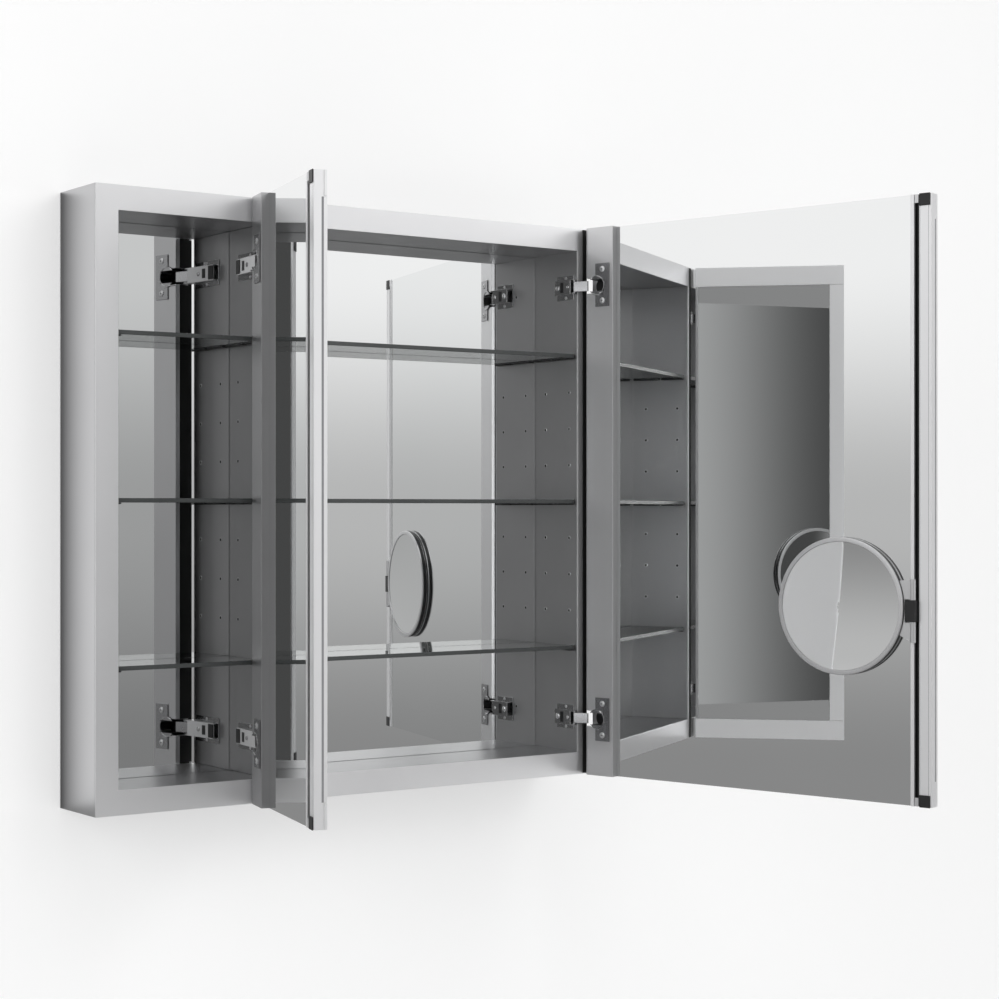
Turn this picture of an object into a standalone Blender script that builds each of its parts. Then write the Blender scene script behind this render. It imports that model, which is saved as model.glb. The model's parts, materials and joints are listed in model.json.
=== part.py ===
"""Wall-hung mirror cabinet with two doors, glass shelves and a folding magnifying mirror.

+X runs to the right along the front, +Y into the wall and +Z up. The origin is the
centre of the back face, where the cabinet meets the wall. Lengths are written in
millimetres and turned into metres as each object is made.
"""
import math

import bmesh
import bpy

MM = 0.001

# ---- cabinet ----
WIDTH = 760.0
HEIGHT = 762.0
DEPTH = 99.0
GAP = 0.3                        # clearance between neighbouring solids
SHEET = 2.0                      # thickness of the folded sheet panels
LEFT_OPENING = (-349.4, -141.6)  # X range of the narrow compartment
RIGHT_OPENING = (-128.9, 364.0)  # X range of the wide compartment
OPENING_TOP = 350.1              # the openings are centred on Z = 0
BACK_SHEET = 1.2
BACK_MIRROR = 2.5
SEAL_THICKNESS = 0.9

# ---- shelves ----
SHELF_THICKNESS = 5.5
SHELF_PITCH = 204.0
SHELF_FRONT = -92.0
SHELF_BACK = -5.0

# ---- doors, measured shut: a runs from the hinge edge to the free edge, w towards the room ----
DOOR_TOP = 380.5
INNER_FACE = -110.8              # Y of the inner mirror's face when shut
STILE_PROUD = -9.3               # w of the hinge stile's face, proud of the inner mirror
STILE_WIDTH = 46.5
GLASS = 4.0
CORE = (4.3, 12.2)
SKIN = (12.5, 16.5)
HANDLE_WIDTH = 27.8
BAND_WIDTH = 22.5
RAIL_HEIGHT = 30.6
STRIP_WIDTH = 4.0
CAP_BOTTOM = 365.5
CAP_TOP = 380.9
STILE_CHAMFER = (4.3, 3.4)       # along a and w, so the hinge corner clears the frame as it swings

# ---- hinges ----
HINGE_HEIGHTS = {"top": 300.0, "bottom": -302.0}
CUP_CENTRE = 20.0                # from the door's hinge edge
CUP_RADIUS = 13.5
CUP_DEPTH = (-10.8, 11.0)
FLANGE_DEPTH = (-10.8, -9.6)
FLANGE_WIDTH = (18.5, 41.5)
FLANGE_HALF_HEIGHT = 30.0
ARM_HALF_HEIGHT = 10.3
ARM_SHEET = 1.3
ARM_WEB_OFFSET = 4.9             # from the link's axis out to the arm's web
ARM_PLATE_HALF_HEIGHT = 17.0
LINK_HALF = 1.3                  # half the link's thickness
LINK_HALF_HEIGHT = 7.0

# ---- magnifying mirror, on the wide door ----
MAGNIFIER_AXIS_A = 492.0
MAGNIFIER_AXIS_W = -5.0
MAGNIFIER_CENTRE_A = 393.0
MAGNIFIER_RADIUS = 87.7
MAGNIFIER_HEIGHT = -134.0
BRACKET_HEIGHT = -137.5

PARTS_NAME = "mirror_cabinet"
CUTTERS_NAME = "cutters"


class Door:
    """One door: its width, the X of its hinge edge when shut, its pivot and how far it stands open."""

    def __init__(self, side, width, edge_x, pivot, open_degrees):
        self.side = side
        self.width = width
        self.edge_x = edge_x
        self.pivot = pivot
        self.empty = new_empty(side + "_door_pivot", (pivot[0], pivot[1], 0.0))
        self.empty.rotation_euler.z = math.radians(open_degrees)

    def x(self, a):
        return self.edge_x - a - self.pivot[0]

    def y(self, w):
        return INNER_FACE - w - self.pivot[1]

    def box(self, part, a, w, z, material, collection=None):
        """A slab of the door from ranges of a, w and z."""
        return self.named_box(self.side + "_door_" + part, a, w, z, material, collection)

    def named_box(self, name, a, w, z, material, collection=None):
        x = (self.x(a[1]), self.x(a[0]))
        y = (self.y(w[1]), self.y(w[0]))
        return new_box(name, x, y, z, material, self.empty, collection)

    def bar(self, part, outline, z, material):
        """An upright extrusion of the door from an outline of (a, w) points."""
        name = self.side + "_door_" + part
        points = [(self.x(a), self.y(w)) for a, w in outline]
        return new_extrusion(name, [points], z, "Z", material, self.empty)


def collection_named(name):
    collection = bpy.data.collections.get(name)
    if collection is None:
        collection = bpy.data.collections.new(name)
        bpy.context.scene.collection.children.link(collection)
    return collection


def clear_scene():
    for item in list(bpy.data.objects):
        bpy.data.objects.remove(item, do_unlink=True)


def new_material(name, color, roughness, metallic):
    material = bpy.data.materials.new(name)
    material.use_nodes = True
    shader = material.node_tree.nodes["Principled BSDF"]
    shader.inputs["Base Color"].default_value = (*color, 1.0)
    shader.inputs["Roughness"].default_value = roughness
    shader.inputs["Metallic"].default_value = metallic
    return material


def make_materials():
    return {
        "aluminium": new_material("satin_aluminium", (0.72, 0.72, 0.73), 0.35, 1.0),
        "steel": new_material("nickel_steel", (0.62, 0.62, 0.63), 0.25, 1.0),
        "mirror": new_material("silvered_mirror", (0.92, 0.93, 0.93), 0.02, 1.0),
        "glass": new_material("shelf_glass", (0.75, 0.85, 0.82), 0.03, 0.0),
        "black": new_material("black_plastic", (0.02, 0.02, 0.02), 0.45, 0.0),
        "core": new_material("door_core", (0.30, 0.30, 0.31), 0.6, 0.0),
        "rubber": new_material("black_rubber", (0.03, 0.03, 0.03), 0.7, 0.0),
    }


def new_empty(name, location, parent=None):
    empty = bpy.data.objects.new(name, None)
    empty.location = [value * MM for value in location]
    empty.parent = parent
    empty.empty_display_size = 0.02
    collection_named(PARTS_NAME).objects.link(empty)
    return empty


def place(obj, material, parent, collection):
    obj.parent = parent
    if material is not None:
        obj.data.materials.append(material)
    target = collection or PARTS_NAME
    collection_named(target).objects.link(obj)
    if target == CUTTERS_NAME:
        obj.hide_render = True
        obj.display_type = "WIRE"
    return obj


def new_box(name, x, y, z, material, parent=None, collection=None):
    """A box from ranges along each axis, its origin at its centre."""
    body = bmesh.new()
    bmesh.ops.create_cube(body, size=1.0)
    size = [(high - low) * MM for low, high in (x, y, z)]
    bmesh.ops.scale(body, vec=size, verts=body.verts)
    mesh = bpy.data.meshes.new(name)
    body.to_mesh(mesh)
    body.free()
    obj = bpy.data.objects.new(name, mesh)
    obj.location = [(low + high) / 2 * MM for low, high in (x, y, z)]
    return place(obj, material, parent, collection)


def new_tray(name, x, y, z, material):
    """A folded sheet panel: a box hollowed from its wall side."""
    tray = new_box(name, x, y, z, material)
    body = bmesh.new()
    body.from_mesh(tray.data)
    back = max(body.faces, key=lambda face: face.calc_center_median().y)
    bmesh.ops.inset_region(body, faces=[back], thickness=SHEET * MM, use_even_offset=True)
    pocket = bmesh.ops.extrude_discrete_faces(body, faces=[back])["faces"][0]
    depth = (y[1] - y[0] - SHEET) * MM
    bmesh.ops.translate(body, vec=(0.0, -depth, 0.0), verts=pocket.verts)
    body.to_mesh(tray.data)
    body.free()
    return tray


def new_extrusion(name, outlines, span, axis, material, parent=None, collection=None):
    """A flat outline, with any holes, extruded along one axis between the span's ends."""
    curve = bpy.data.curves.new(name, "CURVE")
    curve.dimensions = "2D"
    curve.fill_mode = "BOTH"
    curve.extrude = (span[1] - span[0]) / 2 * MM
    for outline in outlines:
        spline = curve.splines.new("POLY")
        spline.points.add(len(outline) - 1)
        for point, (across, along) in zip(spline.points, outline):
            point.co = (across * MM, along * MM, 0.0, 1.0)
        spline.use_cyclic_u = True
    flat = bpy.data.objects.new(name + "_outline", curve)
    bpy.context.scene.collection.objects.link(flat)
    evaluated = flat.evaluated_get(bpy.context.evaluated_depsgraph_get())
    mesh = bpy.data.meshes.new_from_object(evaluated)
    bpy.data.objects.remove(flat, do_unlink=True)
    body = bmesh.new()
    body.from_mesh(mesh)
    bmesh.ops.remove_doubles(body, verts=body.verts, dist=0.00001)
    bmesh.ops.recalc_face_normals(body, faces=body.faces)
    body.to_mesh(mesh)
    body.free()
    mesh.name = name
    mesh.materials.clear()
    obj = bpy.data.objects.new(name, mesh)
    middle = (span[0] + span[1]) / 2 * MM
    if axis == "Z":
        obj.location = (0.0, 0.0, middle)
    elif axis == "Y":
        obj.location = (0.0, middle, 0.0)
        obj.rotation_euler = (math.radians(90), 0.0, 0.0)
    return place(obj, material, parent, collection)


def new_cylinder(name, centre, radius, length, axis, material, parent=None, collection=None, sides=32):
    """A round bar along Y or Z about its centre."""
    body = bmesh.new()
    bmesh.ops.create_cone(
        body, cap_ends=True, segments=sides, radius1=radius * MM, radius2=radius * MM, depth=length * MM
    )
    mesh = bpy.data.meshes.new(name)
    body.to_mesh(mesh)
    body.free()
    mesh.shade_smooth()
    mesh.set_sharp_from_angle(angle=math.radians(40))
    obj = bpy.data.objects.new(name, mesh)
    obj.location = [value * MM for value in centre]
    if axis == "Y":
        obj.rotation_euler = (math.radians(90), 0.0, 0.0)
    return place(obj, material, parent, collection)


def new_turned(name, profile, steps, centre, material, parent):
    """A ring or disc turned about the Y axis from (radius, depth) points, depth towards -Y."""
    mesh = bpy.data.meshes.new(name)
    body = bmesh.new()
    points = [body.verts.new((radius * MM, 0.0, depth * MM)) for radius, depth in profile]
    for start, end in zip(points, points[1:]):
        body.edges.new((start, end))
    if profile[0][0] > 0.0:
        body.edges.new((points[-1], points[0]))
    body.to_mesh(mesh)
    body.free()
    obj = bpy.data.objects.new(name, mesh)
    obj.location = [value * MM for value in centre]
    obj.rotation_euler = (math.radians(90), 0.0, 0.0)
    screw = obj.modifiers.new("turn", "SCREW")
    screw.steps = steps
    screw.render_steps = steps
    screw.use_merge_vertices = True
    screw.merge_threshold = 0.00001
    return place(obj, material, parent, None)


def combine(obj, other, operation):
    modifier = obj.modifiers.new(other.name, "BOOLEAN")
    modifier.operation = operation
    modifier.object = other
    modifier.solver = "EXACT"


def rectangle(x, y):
    return [(x[0], y[0]), (x[1], y[0]), (x[1], y[1]), (x[0], y[1])]


def round_edges(obj, width, segments=2):
    bevel = obj.modifiers.new("rounding", "BEVEL")
    bevel.width = width * MM
    bevel.segments = segments
    bevel.limit_method = "ANGLE"


# ---- cabinet body ----

def make_front_frame(materials):
    """The flat front with its two openings."""
    openings = [rectangle(span, (-OPENING_TOP, OPENING_TOP)) for span in (LEFT_OPENING, RIGHT_OPENING)]
    outline = rectangle((-WIDTH / 2, WIDTH / 2), (-HEIGHT / 2, HEIGHT / 2))
    span = (-DEPTH, -DEPTH + SHEET)
    new_extrusion("front_frame", [outline] + openings, span, "Y", materials["aluminium"])


def make_panels(materials):
    """Hollow side, top, bottom and divider panels behind the front frame."""
    deep = (-DEPTH + SHEET + GAP, -BACK_SHEET - GAP)
    half = HEIGHT / 2
    metal = materials["aluminium"]
    new_tray("side_panel_left", (-WIDTH / 2, LEFT_OPENING[0]), deep, (-half, half), metal)
    new_tray("side_panel_right", (RIGHT_OPENING[1], WIDTH / 2), deep, (-half, half), metal)
    between = (LEFT_OPENING[0] + GAP, RIGHT_OPENING[1] - GAP)
    new_tray("top_panel", between, deep, (OPENING_TOP, half), metal)
    new_tray("bottom_panel", between, deep, (-half, -OPENING_TOP), metal)
    inner = (-OPENING_TOP + GAP, OPENING_TOP - GAP)
    new_tray("divider_panel", (LEFT_OPENING[1], RIGHT_OPENING[0]), deep, inner, metal)


def make_back(materials):
    """The back sheet and a mirror behind each compartment."""
    half = HEIGHT / 2
    sheet = (-BACK_SHEET, 0.0)
    new_box("back_panel", (-WIDTH / 2, WIDTH / 2), sheet, (-half, half), materials["aluminium"])
    glass = (-BACK_SHEET - GAP - BACK_MIRROR, -BACK_SHEET - GAP)
    tall = (-OPENING_TOP + GAP, OPENING_TOP - GAP)
    for side, opening in (("left", LEFT_OPENING), ("right", RIGHT_OPENING)):
        wide = (opening[0] + GAP, opening[1] - GAP)
        new_box("back_mirror_" + side, wide, glass, tall, materials["mirror"])


def make_seals(materials):
    """Soft strips on the front, under the edges of the wide door."""
    depth = (-DEPTH - GAP - SEAL_THICKNESS, -DEPTH - GAP)
    tall = (-HEIGHT / 2 + 1.0, HEIGHT / 2 - 1.0)
    for name, across in (("edge_seal_right", (372.3, 379.7)), ("edge_seal_divider", (-138.0, -131.0))):
        new_box(name, across, depth, tall, materials["rubber"])


def make_shelves(materials):
    """Three glass shelves in each compartment."""
    for side, opening in (("left", LEFT_OPENING), ("right", RIGHT_OPENING)):
        wide = (opening[0] + 2 * GAP, opening[1] - 2 * GAP)
        for level in (-1, 0, 1):
            bottom = level * SHELF_PITCH - 2.9
            height = (bottom, bottom + SHELF_THICKNESS)
            name = "shelf_{}_{}".format(side, level + 2)
            new_box(name, wide, (SHELF_FRONT, SHELF_BACK), height, materials["glass"])


# ---- hinges ----

def make_hinge_arm(name, wall_x, link_axis, length, lean, height, materials):
    """The hinge arm: a folded channel on a mounting plate, open towards the compartment's wall."""
    back = link_axis[1] + length
    plate_x = (wall_x - GAP - 1.2, wall_x - GAP)
    plate_y = (link_axis[1] + 5.0, back + 2.0)
    plate_z = (height - ARM_PLATE_HALF_HEIGHT, height + ARM_PLATE_HALF_HEIGHT)
    new_box(name + "_plate", plate_x, plate_y, plate_z, materials["steel"])
    web = link_axis[0] - ARM_WEB_OFFSET
    rise = ARM_HALF_HEIGHT
    sheet = ARM_SHEET
    deep = wall_x + 6.0
    channel = [
        (web, height - rise), (deep, height - rise), (deep, height - rise + sheet),
        (web + sheet, height - rise + sheet), (web + sheet, height + rise - sheet),
        (deep, height + rise - sheet), (deep, height + rise), (web, height + rise),
    ]
    arm = new_extrusion(name + "_arm", [channel], (0.0, length), "Y", materials["steel"])
    turn = math.radians(lean)
    arm.rotation_euler = (math.radians(90), 0.0, turn)
    front = link_axis[1] - 2.4
    middle = length / 2
    arm.location.x = (link_axis[0] - link_axis[0] * math.cos(turn) - middle * math.sin(turn)) * MM
    arm.location.y = (front - link_axis[0] * math.sin(turn) + middle * math.cos(turn)) * MM
    tall = (height - 30.0, height + 30.0)
    wall_side = new_box(
        name + "_wall_cut", (plate_x[0] - GAP, wall_x + 60.0), (front - 20.0, back + 30.0), tall,
        None, collection=CUTTERS_NAME,
    )
    combine(arm, wall_side, "DIFFERENCE")
    mouth_height = (height - rise + sheet, height + rise - sheet)
    mouth = new_box(
        name + "_mouth_cut", (web - 9.0, web + 3.0), (front - 9.0, link_axis[1] + 3.4), mouth_height,
        None, collection=CUTTERS_NAME,
    )
    combine(arm, mouth, "DIFFERENCE")


def make_hinge_link(name, axis, length, direction, height, materials):
    """A flat link with round ends that turns about the arm's tip."""
    outline = []
    for step in range(9):
        angle = math.radians(90 + step * 22.5)
        outline.append((LINK_HALF * math.cos(angle), LINK_HALF * math.sin(angle)))
    for step in range(9):
        angle = math.radians(-90 + step * 22.5)
        outline.append((length + LINK_HALF * math.cos(angle), LINK_HALF * math.sin(angle)))
    tall = (-LINK_HALF_HEIGHT, LINK_HALF_HEIGHT)
    link = new_extrusion(name + "_link", [outline], tall, "Z", materials["steel"])
    link.location = (axis[0] * MM, axis[1] * MM, height * MM)
    link.rotation_euler.z = math.radians(direction)


def make_hinge_cup(door, name, height, materials):
    """The cup in the door's stile with its flange, open towards the hinge edge for the link."""
    middle = sum(CUP_DEPTH) / 2
    cup = new_cylinder(
        name + "_cup", (door.x(CUP_CENTRE), door.y(middle), height), CUP_RADIUS,
        CUP_DEPTH[1] - CUP_DEPTH[0], "Y", materials["black"], door.empty,
    )
    flange_z = (height - FLANGE_HALF_HEIGHT, height + FLANGE_HALF_HEIGHT)
    flange = door.named_box(name + "_flange", FLANGE_WIDTH, FLANGE_DEPTH, flange_z, None, CUTTERS_NAME)
    hollow = door.named_box(
        name + "_hollow", (-9.0, 32.4), (-20.0, 8.8), (height - 8.2, height + 8.2), None, CUTTERS_NAME
    )
    combine(cup, flange, "UNION")
    combine(cup, hollow, "DIFFERENCE")


def make_hinges(door, materials, wall_x, link_axis, link_length, link_direction, arm_length, lean):
    for end, height in HINGE_HEIGHTS.items():
        name = "{}_hinge_{}".format(door.side, end)
        make_hinge_arm(name, wall_x, link_axis, arm_length, lean, height, materials)
        make_hinge_link(name, link_axis, link_length, link_direction, height, materials)
        make_hinge_cup(door, name, height, materials)


# ---- doors ----

def make_hinge_stile(door, materials):
    """The deep stile on the hinge side, with a bore and a slot for each hinge cup."""
    outline = [
        (0.0, STILE_PROUD + STILE_CHAMFER[1]), (STILE_CHAMFER[0], STILE_PROUD),
        (STILE_WIDTH, STILE_PROUD), (STILE_WIDTH, CORE[1]),
        (STRIP_WIDTH, CORE[1]), (STRIP_WIDTH, SKIN[1]), (0.0, SKIN[1]),
    ]
    stile = door.bar("hinge_stile", outline, (-DOOR_TOP, DOOR_TOP), materials["aluminium"])
    for end, height in HINGE_HEIGHTS.items():
        bore_length = 24.0
        bore = new_cylinder(
            "{}_door_cup_bore_{}".format(door.side, end),
            (door.x(CUP_CENTRE), door.y(11.3 - bore_length / 2), height),
            CUP_RADIUS + GAP, bore_length, "Y", None, door.empty, CUTTERS_NAME,
        )
        slot = door.box(
            "link_slot_" + end, (-9.0, CUP_CENTRE), (-20.0, 9.1), (height - 10.8, height + 10.8),
            None, CUTTERS_NAME,
        )
        combine(stile, bore, "DIFFERENCE")
        combine(stile, slot, "DIFFERENCE")
    return stile


def make_handle_stile(door, materials):
    """The stile on the free edge, with a low rib and the groove that holds the track."""
    free = door.width
    outline = [
        (free - HANDLE_WIDTH, -1.2), (free - 22.9, -1.2), (free - 22.9, 6.3), (free - 16.7, 6.3),
        (free - 16.7, 0.0), (free, 0.0), (free, SKIN[1]), (free - BAND_WIDTH, SKIN[1]),
        (free - BAND_WIDTH, CORE[1]), (free - HANDLE_WIDTH, CORE[1]),
    ]
    return door.bar("handle_stile", outline, (-DOOR_TOP, DOOR_TOP), materials["aluminium"])


def make_track(door, materials):
    """The black channel in the handle stile's groove."""
    free = door.width
    near = free - 22.6
    far = free - 17.0
    wall = 1.2
    outline = [
        (near, 0.3), (near + wall, 0.3), (near + wall, 4.8), (far - wall, 4.8),
        (far - wall, 0.3), (far, 0.3), (far, 6.0), (near, 6.0),
    ]
    door.bar("track", outline, (-DOOR_TOP + 0.5, DOOR_TOP - 0.5), materials["black"])


def make_door(door, materials):
    """A framed core with a mirror on each face."""
    free = door.width
    tall = (-DOOR_TOP, DOOR_TOP)
    inside = (STILE_WIDTH + GAP, free - HANDLE_WIDTH - GAP)
    glass_tall = (-DOOR_TOP + 0.5, DOOR_TOP - 0.5)
    door.box("inner_mirror", inside, (0.0, GLASS), glass_tall, materials["mirror"])
    door.box("core", inside, CORE, tall, materials["core"])
    stiles = [make_hinge_stile(door, materials), make_handle_stile(door, materials)]
    rail_edge = DOOR_TOP - RAIL_HEIGHT
    for end, height in (("top", (rail_edge, DOOR_TOP)), ("bottom", (-DOOR_TOP, -rail_edge))):
        door.box("rail_" + end, (0.0, free), SKIN, height, materials["aluminium"])
        seat_height = (height[0] - GAP, height[1] + GAP)
        seat = door.box(
            "rail_seat_" + end, (-5.0, free + 5.0), (CORE[1], 30.0), seat_height, None, CUTTERS_NAME
        )
        for stile in stiles:
            combine(stile, seat, "DIFFERENCE")
    window = (-rail_edge + GAP, rail_edge - GAP)
    outer = (STRIP_WIDTH + GAP, free - BAND_WIDTH - GAP)
    door.box("outer_mirror", outer, (SKIN[0], SKIN[1] - 0.3), window, materials["mirror"])
    make_track(door, materials)
    for end, height in (("top", (CAP_BOTTOM, CAP_TOP)), ("bottom", (-CAP_TOP, -CAP_BOTTOM))):
        cap = door.box("cap_" + end, (free - 16.0, free - 1.6), (-1.4, -0.3), height, materials["black"])
        round_edges(cap, 0.35)


# ---- magnifying mirror ----

def make_carriage(door, materials, slide):
    """The slider in the track and the knuckle that it carries."""
    slide_point = (door.x(MAGNIFIER_AXIS_A), door.y(MAGNIFIER_AXIS_W))
    free = door.width
    rise = 13.5

    def local_x(a):
        return door.x(a) - slide_point[0]

    def local_y(w):
        return door.y(w) - slide_point[1]

    foot_x = (local_x(free - 18.5), local_x(free - 21.1))
    foot_y = (local_y(4.5), local_y(-1.2))
    new_box("magnifier_slider", foot_x, foot_y, (-rise, rise), materials["black"], slide)
    knuckle_x = (local_x(496.0), local_x(482.6))
    knuckle_y = (local_y(-1.5), local_y(-8.6))
    knuckle = new_box("magnifier_knuckle", knuckle_x, knuckle_y, (-rise, rise), materials["black"], slide)
    bore = new_cylinder(
        "magnifier_pin_bore", (0.0, 0.0, 0.0), 2.1, 40.0, "Z", None, slide, CUTTERS_NAME, sides=24
    )
    combine(knuckle, bore, "DIFFERENCE")


def make_bracket(swing, materials):
    """The leaf and barrels that carry the mirror, and the pin through them."""
    reach = MAGNIFIER_AXIS_A - MAGNIFIER_CENTRE_A
    rise = 39.5
    lift = MAGNIFIER_HEIGHT - BRACKET_HEIGHT
    rim = MAGNIFIER_RADIUS + GAP
    spread = math.asin(34.0 / rim)
    outline = []
    for step in range(9):
        angle = -spread + 2 * spread * step / 8
        outline.append((reach - rim * math.cos(angle), lift + rim * math.sin(angle)))
    outline += [(1.0, rise), (1.0, 14.5), (10.6, 14.5), (10.6, -14.5), (1.0, -14.5), (1.0, -rise)]
    bracket = new_extrusion("magnifier_bracket", [outline], (-1.0, 1.0), "Y", materials["steel"], swing)
    for end, middle in (("upper", 26.6), ("lower", -26.6)):
        barrel = new_cylinder(
            "magnifier_barrel_" + end, (0.0, 0.0, middle), 3.5, 25.6, "Z", None, swing, CUTTERS_NAME
        )
        combine(bracket, barrel, "UNION")
    hole = new_cylinder(
        "magnifier_barrel_bore", (0.0, 0.0, 0.0), 2.1, 60.0, "Z", None, swing, CUTTERS_NAME, sides=24
    )
    combine(bracket, hole, "DIFFERENCE")
    new_cylinder(
        "magnifier_pin", (0.0, 0.0, 0.0), 1.8, 58.0, "Z", materials["steel"], swing, sides=24
    )


def make_magnifier(swing, materials):
    """The round frame, its back plate and the concave mirror."""
    centre = (MAGNIFIER_AXIS_A - MAGNIFIER_CENTRE_A, 0.0, MAGNIFIER_HEIGHT - BRACKET_HEIGHT)
    outer = MAGNIFIER_RADIUS
    inner = outer - 5.7
    steps = 72
    front = -4.6
    back = 4.0
    ring = [
        (outer - 0.8, back), (outer, back - 0.8), (outer, front + 0.8), (outer - 0.8, front),
        (inner, front), (inner, back),
    ]
    new_turned("magnifier_ring", ring, steps, centre, materials["steel"], swing)
    seat = inner - GAP
    plate_front = back - 1.6
    plate = [(0.0, back), (seat, back), (seat, plate_front), (0.0, plate_front)]
    new_turned("magnifier_back_plate", plate, steps, centre, materials["steel"], swing)
    sag = 2.2
    rings = 8
    rim = front + 1.0
    bowl = [(seat * step / rings, rim + sag * (1 - (step / rings) ** 2)) for step in range(rings + 1)]
    floor = plate_front - GAP
    mirror = [(0.0, floor), (seat, floor)] + bowl[::-1]
    new_turned("magnifier_mirror", mirror, steps, centre, materials["mirror"], swing)


def make_magnifier_assembly(door, materials):
    """The slider, its swing axis and everything that swings."""
    start = (door.x(MAGNIFIER_AXIS_A), door.y(MAGNIFIER_AXIS_W), BRACKET_HEIGHT)
    slide = new_empty("magnifier_slide", start, door.empty)
    make_carriage(door, materials, slide)
    swing = new_empty("magnifier_swing", (0.0, 0.0, 0.0), slide)
    make_bracket(swing, materials)
    make_magnifier(swing, materials)


def main():
    clear_scene()
    collection_named(PARTS_NAME)
    materials = make_materials()
    make_front_frame(materials)
    make_panels(materials)
    make_back(materials)
    make_seals(materials)
    make_shelves(materials)
    left = Door("left", 235.5, -142.0, (-154.18, -115.97), 75.08)
    right = Door("right", 514.4, 377.5, (375.91, -109.92), 105.37)
    for door in (left, right):
        make_door(door, materials)
    make_hinges(left, materials, LEFT_OPENING[1], (-151.0, -96.0), 20.0, -115.0, 64.0, -7.0)
    make_hinges(right, materials, RIGHT_OPENING[1], (359.5, -97.0), 19.6, -59.5, 40.0, 0.0)
    make_magnifier_assembly(right, materials)


main()
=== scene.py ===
import json
import math

import bmesh
import bpy
from mathutils import Matrix, Vector


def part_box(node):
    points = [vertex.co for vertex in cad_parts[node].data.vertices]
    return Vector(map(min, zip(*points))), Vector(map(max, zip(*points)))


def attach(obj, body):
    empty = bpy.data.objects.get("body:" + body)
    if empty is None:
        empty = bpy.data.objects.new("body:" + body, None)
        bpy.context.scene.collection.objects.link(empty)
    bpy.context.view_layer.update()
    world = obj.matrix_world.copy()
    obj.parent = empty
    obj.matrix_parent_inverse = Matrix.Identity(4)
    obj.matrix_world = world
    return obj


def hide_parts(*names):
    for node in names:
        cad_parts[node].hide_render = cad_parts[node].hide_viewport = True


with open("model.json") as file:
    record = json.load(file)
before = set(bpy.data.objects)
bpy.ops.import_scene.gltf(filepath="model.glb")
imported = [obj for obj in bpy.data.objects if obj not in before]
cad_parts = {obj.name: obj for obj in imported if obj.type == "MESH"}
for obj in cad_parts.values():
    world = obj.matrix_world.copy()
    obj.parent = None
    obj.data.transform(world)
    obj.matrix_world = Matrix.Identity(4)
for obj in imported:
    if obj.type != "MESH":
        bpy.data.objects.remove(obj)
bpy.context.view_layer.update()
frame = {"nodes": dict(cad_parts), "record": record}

MM = 0.001
BODY_OF = {node: body for body, nodes in frame["record"]["behaviour"]["bodies"].items() for node in nodes}
SLOTS = {part["node"]: part["material_slot"] for part in frame["record"]["subparts"]}
BACK_LOW, BACK_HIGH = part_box("back_panel")


# ---- studio, in metres, degrees and watts ----

CAMERA_PLACE = (-1.4898, -2.3578, -0.01245)
CAMERA_TURN = -33.87
CAMERA_SHIFT = (0.1225, 0.0109)
SENSOR_WIDTH = 36.0
LENS = 74.99
FAR_CLIP = 50.0

# The grey seen from 30 degrees below the horizon (0) to 30 degrees above it (1).
SKY = ((0.0, 0.16), (0.38, 0.26), (0.5, 0.5), (0.62, 0.93), (1.0, 0.95))
# Compass bearing, where each patch starts and is full (degrees from the bearing), grey and strength.
SIDES = (
    (-150.0, 14.0, 6.0, 0.15, 0.35),
    (-126.0, 21.0, 12.0, 0.43, 1.0),
    (-125.0, 11.6, 6.8, 0.07, 1.0),
    (-42.0, 6.5, 2.0, 3.2, 1.0),
    (-18.0, 16.0, 9.0, 0.27, 1.0),
)
BACKDROP_GREY = 0.9

WALL_GREY = 0.60
WALL_GLOW = 0.41
WALL_GAP = 0.002
WALL_ACROSS = (-1.6, 2.2)
WALL_UP = (-1.4, 1.6)
FLOOR_GREY = 0.85
FLOOR_HEIGHT = -1.4
FLOOR_ACROSS = (-2.5, 3.0)
FLOOR_DEEP = (-3.5, 0.0)
# A glowing card beside the side panel that only reflections see: painted reflection, dark close to the
# panel as painted shade. Its gap, reach, fade and glow from dark to light.
CARD_GAP = 0.001
CARD_REACH = 0.12
CARD_FADE = (0.002, 0.045)
CARD_GLOWS_SHADE_TO_LIGHT = (0.08, 1.0)

# Name, place, the spot it points at, width and height, power.
LAMPS = (
    ("key_light", (1.0, -2.0, 1.2), (0.1, 0.0, 0.0), (1.2, 1.0), 10.0),
    ("left_light", (-2.3, -1.0, 0.5), (0.2, -0.3, 0.0), (1.0, 1.4), 20.0),
)


def look_at_cabinet():
    """A level camera to the left of the cabinet, turned towards it."""
    data = bpy.data.cameras.new("camera")
    camera = bpy.data.objects.new("camera", data)
    bpy.context.scene.collection.objects.link(camera)
    camera.location = CAMERA_PLACE
    camera.rotation_euler = (math.radians(90), 0.0, math.radians(CAMERA_TURN))
    data.sensor_width = SENSOR_WIDTH
    data.lens = LENS
    data.shift_x, data.shift_y = CAMERA_SHIFT
    data.clip_end = FAR_CLIP
    bpy.context.scene.camera = camera


def soft_light(name, place, aim, size, power):
    """A rectangular lamp that points at a spot."""
    data = bpy.data.lights.new(name, "AREA")
    data.shape = "RECTANGLE"
    data.size, data.size_y = size
    data.energy = power
    light = bpy.data.objects.new(name, data)
    bpy.context.scene.collection.objects.link(light)
    light.location = place
    direction = Vector(aim) - Vector(place)
    light.rotation_euler = direction.to_track_quat("-Z", "Y").to_euler()
    return light


def grey(value):
    """A neutral colour."""
    return (value, value, value, 1.0)


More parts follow.
